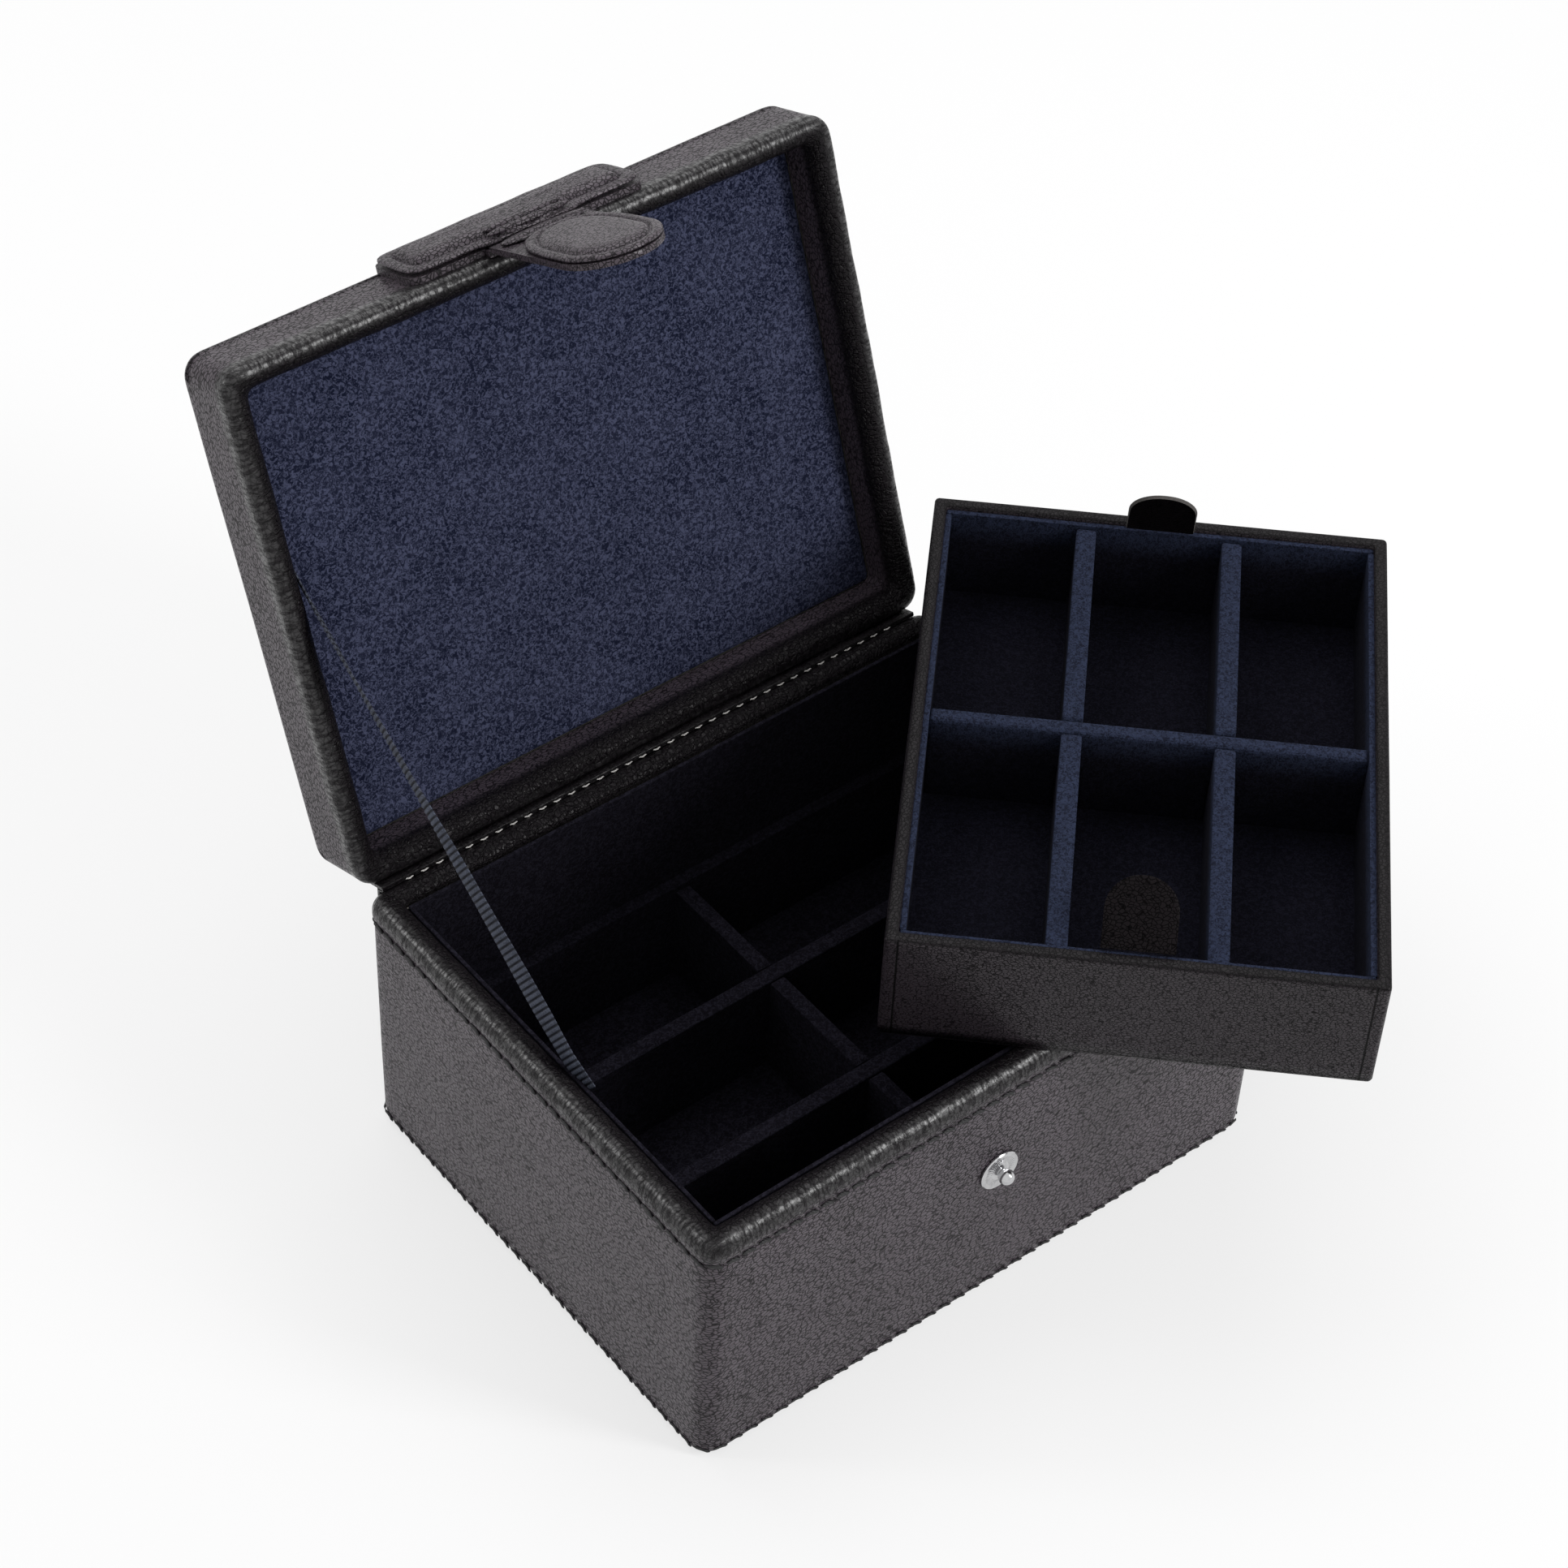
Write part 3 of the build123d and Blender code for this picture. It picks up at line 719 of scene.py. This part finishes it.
lid_profile = [
    (0.0, 3.4), (0.0, 8.0), (0.0, 13.0), (0.0, 16.2), (-0.12, 17.6), (-0.1, 18.6), (0.2, 19.5),
    (0.8, 20.15), (1.6, 20.5), (2.6, 20.6), (3.5, 20.5), (4.2, 20.2), (4.9, 19.6), (5.5, 18.8),
    (5.95, 17.7), (6.05, 16.2), (6.05, 13.0), (6.05, 9.2)]
lid_skin = pull_up("lid_skin", box_width, box_depth, box_corner, lid_profile,
                   foot=[(0.15, 2.2), (0.8, 1.1), (1.9, 0.35), (3.4, 0.0)],
                   closed=[(4.0, -0.25), (12.0, -0.2)])
round_off(lid_skin, 1)
wave(lid_skin, rim_waves, 0.4, vertex_group=group_above(lid_skin, "rim", 17.0))
wave(lid_skin, side_waves, 0.35, middle=0.6)
dress(lid_skin, lid_leather, place=lid_upside_down)
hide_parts("lid_leather_cover", "lid_rim_binding", "lid_rim_padding",
            "lid_top_padding")
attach(lid_skin, "lid")


# ---------------------------------------------------------------- lid panel
# A card panel wrapped in navy suede over a thin soft layer, pressed into the lid 11 mm below
# the rim. Its edges roll down against the leather.

# Painted light: the lid panel's copy of the same navy suede is given a much lighter tone.
lid_suede = napped_suede("lid_suede", (0.005, 0.007, 0.020), (0.066, 0.074, 0.130), fleck=0.9,
                         **lid_pattern)
panel_less = 12.2      # how much narrower than the lid the panel is
panel_profile = [(0.0, 6.5), (0.0, 8.3), (0.1, 8.9), (0.4, 9.3), (0.9, 9.5)]
panel = pull_up("lid_panel", box_width - panel_less, box_depth - panel_less, 1.6, panel_profile,
                stay_even=1.2, tip=[(2.5, 0.22), (6.0, 0.12), (16.0, 0.0)])
round_off(panel, 1)
dress(panel, lid_suede, place=lid_upside_down)
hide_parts("lid_suede_panel")
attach(panel, "lid")


# ---------------------------------------------------------------- hinge
# One strip of leather, glued down the back of the base and up the back of the lid, is the
# hinge. Inside, where the two rims meet, a row of paler stitches holds it.

spine_width, spine_thick, spine_low, fold_steps = 152.0, 0.9, 6.7, 6
spine = start_flat("spine", spine_width, spine_thick, (0, hinge_y + 0.5, spine_low))
bpy.ops.mesh.select_mode(type="FACE")
for rise in (13.3, 20.0, 18.0, 8.0, 3.5, 1.9):
    raise_by(rise)
for _ in range(fold_steps):
    raise_by(0)
    bpy.ops.transform.rotate(value=lid_open / fold_steps, orient_axis="X",
                             center_override=(0, hinge_y * MM, hinge_z * MM))
away = open_lid.to_3x3() @ Vector((0, 0, 1))
for run in (3.0, 6.0, 7.0):
    bpy.ops.mesh.extrude_region_move(TRANSFORM_OT_translate={"value": tuple(away * run * MM)})
face_outward()
end_edit()
finish_with(spine, "BEVEL", width=0.25 * MM, segments=2, limit_method="ANGLE",
            angle_limit=math.radians(60))
dress(spine, base_leather, 60)
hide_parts("spine_leather")
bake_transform(spine)

pale_thread = thread_material("pale_thread", (0.62, 0.60, 0.58))
hinge_count, hinge_pitch = 35, 4.02
hinge_start = (-69.0, 60.7, 72.25)
hinge_row = one_stitch("hinge_stitches", 2.1, 0.42, 2)
repeat(hinge_row, hinge_count, (hinge_pitch, 0, 0))
dress(hinge_row, pale_thread, 80, shifted(*hinge_start) @ turned_by(90, "X"))
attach(hinge_row, "base")


# ---------------------------------------------------------------- strap
# A T of thick leather sewn on the lid's front: a flat backing, and a facing whose middle is
# padded and sewn round. Its tongue hangs over the rim and carries the snap socket.

strap_leather = pebble_leather("strap_leather", box_tone, cell=0.85, **lid_pattern)
front_of_lid = open_lid @ shifted(0, -box_depth / 2, 0) @ turned_by(90, "X")
bar_low, bar_high, bar_half, stem_half = 75.4, 92.4, 30.5, 12.0
stem_low, stem_cut, backing_thick = 66.9, 73.0, 1.6


def cut_at(axis, place, **settings):
    """Cuts the whole of the piece in hand across X (0) or Y (1), at a place in mm."""
    take_all()
    spot, normal = [0, 0, 0], [0, 0, 0]
    spot[axis], normal[axis] = place * MM, 1
    bpy.ops.mesh.bisect(plane_co=spot, plane_no=normal, **settings)


facing = start_flat("strap_pad", 2 * bar_half, bar_high - stem_low,
                    (0, (stem_low + bar_high) / 2, backing_thick))
for half_stems in range(-4, 5):
    cut_at(0, half_stems * stem_half / 2)
for share in (0.0, 0.4, 0.5, 0.6):
    cut_at(1, bar_low + (bar_high - bar_low) * share)
pick(facing, "FACE", lambda f: abs(f.center.x) > stem_half * MM and f.center.y < bar_low * MM)
bpy.ops.mesh.delete(type="FACE")
take_all()
bpy.ops.mesh.dissolve_faces()
pick(facing, "FACE")
raise_by(1.3)
rolled_edge, groove = [(0.3, 0.3), (1.3, 0.15), (1.2, -0.1)], [(0.3, -0.65), (0.3, 0.0)]
step_in(*rolled_edge, *groove, (0.35, 1.0), (0.9, 0.75), (0.9, 0.2))
cut_at(1, stem_cut, clear_inner=True, use_fill=True)
end_edit()
round_off(facing, 2)
wave(facing, rim_waves, 0.35)
dress(facing, strap_leather, 60, front_of_lid)
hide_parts("strap_facing")
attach(facing, "lid")
give(soften("strap_backing", 0.25), strap_leather)


def fold(name, length, thick, place, body):
    """One of the raised folds that lie across the root of the tongue."""
    piece = one_stitch(name, length, 1.0, 0)
    pick(piece, "VERT")
    bpy.ops.transform.resize(value=(1, thick, 0.9 * thick), center_override=(0, 0, 0))
    end_edit()
    round_off(piece, 2)
    wave(piece, rim_waves, 0.5)
    dress(piece, strap_leather, 60, place)
    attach(piece, body)


fold("root_fold_high", 21.0, 2.6, front_of_lid @ shifted(0, 77.6, 4.3), "lid")
fold("root_fold_low", 22.5, 2.4, front_of_lid @ shifted(0, 75.0, 4.1), "lid")


# ---------------------------------------------------------------- tongue
# Two leathers sewn together with a padded middle. It is creased where it bends at its root,
# and the socket is clenched near its round tip.

tongue_root, tongue_tilt = (0, -64.85, 71.75), 4.0
tongue_place = (open_lid @ shifted(*tongue_root) @ turned_by(90 - tongue_tilt, "X")
                @ turned_by(180, "Z"))
tongue_start, tongue_length, snap_reach = 3.0, 39.0, 30.52
tongue = start_flat("tongue", 2 * stem_half, tongue_length - tongue_start,
                    (0, (tongue_length + tongue_start) / 2, 0))
pick(tongue, "VERT", lambda v: v.co.y > 10 * MM)
round_corners(stem_half - 0.3, 14)
pick(tongue, "FACE")
raise_by(0.75)
rolled_edge, groove = [(0.2, 0.45), (0.8, 0.35), (1.1, -0.15)], [(0.35, -0.6), (0.3, 0.0)]
step_in(*rolled_edge, *groove, (0.4, 0.7), (0.9, 0.5), (1.6, 0.2), (2.0, 0.0))
end_edit()
round_off(tongue, 2)
dress(tongue, strap_leather, 60, tongue_place)
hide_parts("tongue_facing")
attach(tongue, "strap_tongue")
give(soften("tongue_backing", 0.4), strap_leather)

root_strip = start_flat("tongue_root", 2 * stem_half, 6.4, (0, 2.0, 0))
raise_by(0.55)
step_in((0.3, 0.3), (1.2, 0.1))
end_edit()
round_off(root_strip, 2)
dress(root_strip, strap_leather, 60, tongue_place)
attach(root_strip, "strap_tongue")
fold("tongue_fold", 23.0, 1.7, tongue_place @ shifted(0, 2.3, 0.7), "strap_tongue")

tongue_back = -1.4
socket = turned("socket", [(2.4, 0.0), (2.4, 1.25), (2.75, 1.45), (3.4, 1.5), (4.4, 1.4),
                           (5.0, 1.2), (5.4, 0.8), (5.5, 0.3), (5.5, -0.1)], shut=False)
move_to(socket, tongue_place @ shifted(0, snap_reach, tongue_back) @ turned_by(180, "X"))
give(socket, chrome("socket_chrome"))
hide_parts("snap_socket")
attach(socket, "strap_tongue")
give(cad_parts["snap_socket_cap"], stud_chrome)


# ---------------------------------------------------------------- ribbon stay
# A narrow navy grosgrain ribbon, ribbed across, is tucked behind the liner of the base and the
# panel of the lid. It is pulled tight by the lid and turns a little on its way.

ribbon_x, ribbon_width, ribbon_thick, ribbon_lid_reach = -72.9, 6.0, 0.3, 77.5
rib_spacing, tucked = 1.42, 8.5
ribbon_low = Vector((ribbon_x, -3.7, 74.3))
ribbon_high = open_lid @ (Vector((ribbon_x, hinge_y - ribbon_lid_reach, 80.9)) * MM) / MM
ribbon_run = ribbon_high - ribbon_low
rib_count = round(ribbon_run.length / rib_spacing)
rib_pitch = ribbon_run.length / rib_count


def ribbed(name, count, pitch, width, thick):
    """A flat strip along +Y with a round rib across it every pitch."""
    pick_none()
    bpy.ops.mesh.primitive_grid_add(x_subdivisions=6, y_subdivisions=5, size=1)
    piece = bpy.context.object
    piece.name = name
    piece.scale = (width * MM, pitch * MM, 1)
    piece.location = (0, pitch / 2 * MM, 0)
    bpy.ops.object.transform_apply(location=True, rotation=True, scale=True)
    bpy.ops.object.mode_set(mode="EDIT")
    selvage = 0.45 * width * MM      # the ribs end before the ribbon's two woven edges
    for share, rise in ((0.15, 0.32), (0.3, 0.10)):
        pick(piece, "VERT", lambda v: abs(v.co.x) < selvage
             and share * pitch * MM < v.co.y < (1 - share) * pitch * MM)
        bpy.ops.transform.translate(value=(0, 0, rise * MM))
    pick(piece, "VERT", lambda v: abs(v.co.x) > selvage
         and not 0.1 * pitch * MM < v.co.y < 0.9 * pitch * MM)
    bpy.ops.transform.resize(value=(0.95, 1, 1), center_override=(0, 0, 0))
    end_edit()
    repeat(piece, count, (0, pitch, 0), use_merge_vertices=True, merge_threshold=0.02 * MM)
    finish_with(piece, "SOLIDIFY", thickness=thick * MM, offset=-1.0)
    return piece


twist_at = ((0.0, 4.0), (0.10, 9.0), (0.34, 0.0), (0.6, -14.0), (0.85, -26.0), (1.0, -20.0))


def twist(share):
    """The ribbon's turn in degrees, at a share of its run."""
    for (a, low), (b, high) in zip(twist_at, twist_at[1:]):
        if share <= b:
            k = (share - a) / (b - a)
            return low + (high - low) * k * k * (3 - 2 * k)
    return twist_at[-1][1]


ribbon = ribbed("ribbon", rib_count + round(tucked / rib_pitch), rib_pitch, ribbon_width,
                ribbon_thick)
for spot in ribbon.data.vertices:
    spot.co.y -= tucked * MM
    spot.co.z += min(0.0, spot.co.y) * 0.09      # the tucked end leans to the wall
    share = min(max(spot.co.y / (ribbon_run.length * MM), 0.0), 1.0)
    twisted = turned_by(twist(share), "Y") @ Vector((spot.co.x, 0, spot.co.z))
    spot.co.x, spot.co.z = twisted.x, twisted.z
slope = Matrix.Rotation(math.atan2(ribbon_run.z, ribbon_run.y), 4, "X")
move_to(ribbon, shifted(*ribbon_low) @ slope @ turned_by(-90, "Y"))
smooth(ribbon, 70)

grosgrain, shader = new_material("grosgrain")
place = object_place()
way = ribbon_run.normalized()
run = Wire.node("SeparateXYZ", Vector=place)
run = run.out("Y") * way.y + run.out("Z") * way.z - way.dot(ribbon_low) * MM
rib = ((run * (2 * math.pi / (rib_pitch * MM))).math("COSINE") * -0.5 + 0.5).over(0.08, 0.6)
yarn = noise(place, 4200.0, Detail=2.0)
# Painted shade: the colour goes nearly black in the gaps between the ribs, over the yarn's own
# flecks.
yarn_and_gap_shade = (yarn.over(0.3, 0.7) * 0.5 + noise(place, 260.0) * 0.5) * rib
feed(shader, Roughness=0.75, Specular_IOR_Level=0.2, Normal=bumps(yarn, 0.06),
     Base_Color=mix_colour(yarn_and_gap_shade, (0.006, 0.007, 0.012, 1), (0.085, 0.097, 0.135, 1)))
give(ribbon, grosgrain)
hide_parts("ribbon_stay")
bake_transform(ribbon)


# ---------------------------------------------------------------- tray leather
# The tray is card wrapped in finer-grained leather, folded over a flat 3 mm top edge. The long
# sides' leather comes round the corners and ends in a cut edge on the two end faces.

tray_place = shifted(72.3, -22.4, 72.8) @ turned_by(-44.3, "Z")
tray_width, tray_length, tray_corner = 105.7, 142.2, 1.2
tray_pattern = home_of(tray_place)
# folded paints the tray's upward-facing top band darker, as painted shade.
tray_leather = pebble_leather("tray_leather", (0.020, 0.0155, 0.0195), cell=0.7, depth=0.09,
                              rough=0.46, finish=0.5, gloss=0.08, folded=(28.6, 29.2),
                              seam=(49.9, tray_length / 2), **tray_pattern)
tray_profile = [
    (0.0, 0.6), (0.0, 3.0), (0.0, 14.0), (0.0, 26.0), (0.0, 28.3), (0.02, 28.8), (0.16, 29.15),
    (0.5, 29.38), (1.4, 29.4), (2.4, 29.38), (2.8, 29.15), (2.98, 28.6), (3.0, 27.5),
    (3.0, 20.0)]
tray_skin = pull_up("tray_skin", tray_width, tray_length, tray_corner, tray_profile,
                    foot=[(0.12, 0.15), (0.7, 0.0)], stay_even=0.6)
wave(tray_skin, side_waves, 0.15)
dress(tray_skin, tray_leather, place=tray_place)
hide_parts("tray_leather_wrap")
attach(tray_skin, "tray")
give(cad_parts["tray_underside"], tray_leather)


# ---------------------------------------------------------------- tray suede
# Liners, floor and dividers of the tray are card in the same navy suede. The nap on the
# dividers' tops and upper edges catches the light.

# Painted shade and light: the tray's copy of the suede gets the darkest tone, and top paints its
# upper parts lighter.
tray_suede = napped_suede("tray_suede", (0.0022, 0.0022, 0.0048), (0.009, 0.009, 0.0165),
                          fleck=0.8, top=(19.0, 27.6, (0.023, 0.030, 0.058)), **tray_pattern)
for side in ("front", "back", "left", "right"):
    give(soften("tray_liner_" + side, 0.5, 3), tray_suede)
for node in ("tray_divider_left", "tray_divider_right", "tray_divider_cross"):
    give(soften(node, 1.1, 3), tray_suede)
give(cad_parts["tray_floor_pad"], tray_suede)


# ---------------------------------------------------------------- pull tabs
# Each tab is a tongue of single leather, its rounded end cut through so that the paler raw
# edge shows, held between the liner and the tray's end wall.

tab_width, tab_length, tab_thick = 15.8, 16.0, 1.2
tab_root, tab_height, edge_facing = 67.2, 29.3, 0.5
near_lean, far_lean = 50.0, 21.0
tab_leather = pebble_leather("tab_leather", (0.006, 0.0048, 0.0055), cell=0.75, depth=0.1,
                             rough=0.35, finish=0.05, gloss=0.02, **tray_pattern)
raw_edge, shader = new_material("raw_leather_edge")
fibres = noise(object_place(), 3000.0)
feed(shader, Base_Color=mix_colour(fibres, (0.024, 0.022, 0.022, 1), (0.10, 0.091, 0.086, 1)),
     Roughness=0.85)


def pull_tab(name, node, body, end, inward):
    """A tab at the near (-1) or far (1) end of the tray, leaning inward by some degrees."""
    piece = start_flat(name, tab_width, tab_length, (0, tab_length / 2, 0))
    pick(piece, "VERT", lambda v: v.co.y > 0.5 * tab_length * MM)
    round_corners(tab_width / 2 - 0.3, 12)
    pick(piece, "FACE")
    step_in((0.3, 0.12), (0.9, 0.06), (2.5, 0.05))
    end_edit()
    finish_with(piece, "SOLIDIFY", thickness=(tab_thick - 0.4) * MM, offset=-0.9)
    give(piece, tab_leather, raw_edge)
    for face in piece.data.polygons:
        face.material_index = 1 if abs(face.normal.z) < edge_facing else 0
    root = shifted(0, end * tab_root, tab_height)
    lean = turned_by(end * inward, "X") @ turned_by(90, "X")
    face_in = turned_by(180 if end > 0 else 0, "Y")
    move_to(piece, tray_place @ root @ lean @ face_in)
    smooth(piece, 40)
    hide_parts(node)
    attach(piece, body)


pull_tab("tab_near_leather", "tray_tab_near", "tab_near", -1, near_lean)
pull_tab("tab_far_leather", "tray_tab_far", "tab_far", 1, far_lean)


# ---------------------------------------------------------------- inside the walls
# Grey board and soft filling, which the leather and the suede cover.

grey_board, shader = new_material("grey_board")
pulp = noise(object_place(), 700.0, Detail=4.0)
feed(shader, Base_Color=mix_colour(pulp, (0.33, 0.31, 0.28, 1), (0.5, 0.48, 0.44, 1)),
     Roughness=0.9, Normal=bumps(pulp, 0.1, 0.6))
soft_filling, shader = new_material("soft_filling")
foam = Wire.node("TexVoronoi", Vector=object_place(), Scale=1500.0)
feed(shader, Base_Color=mix_colour(foam, (0.45, 0.43, 0.37, 1), (0.62, 0.6, 0.54, 1)),
     Roughness=0.95, Normal=bumps(foam, 0.1, 0.7))
for node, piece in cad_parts.items():
    if "_board" in node:
        give(piece, grey_board)
    elif node.endswith("_padding"):
        give(piece, soft_filling)
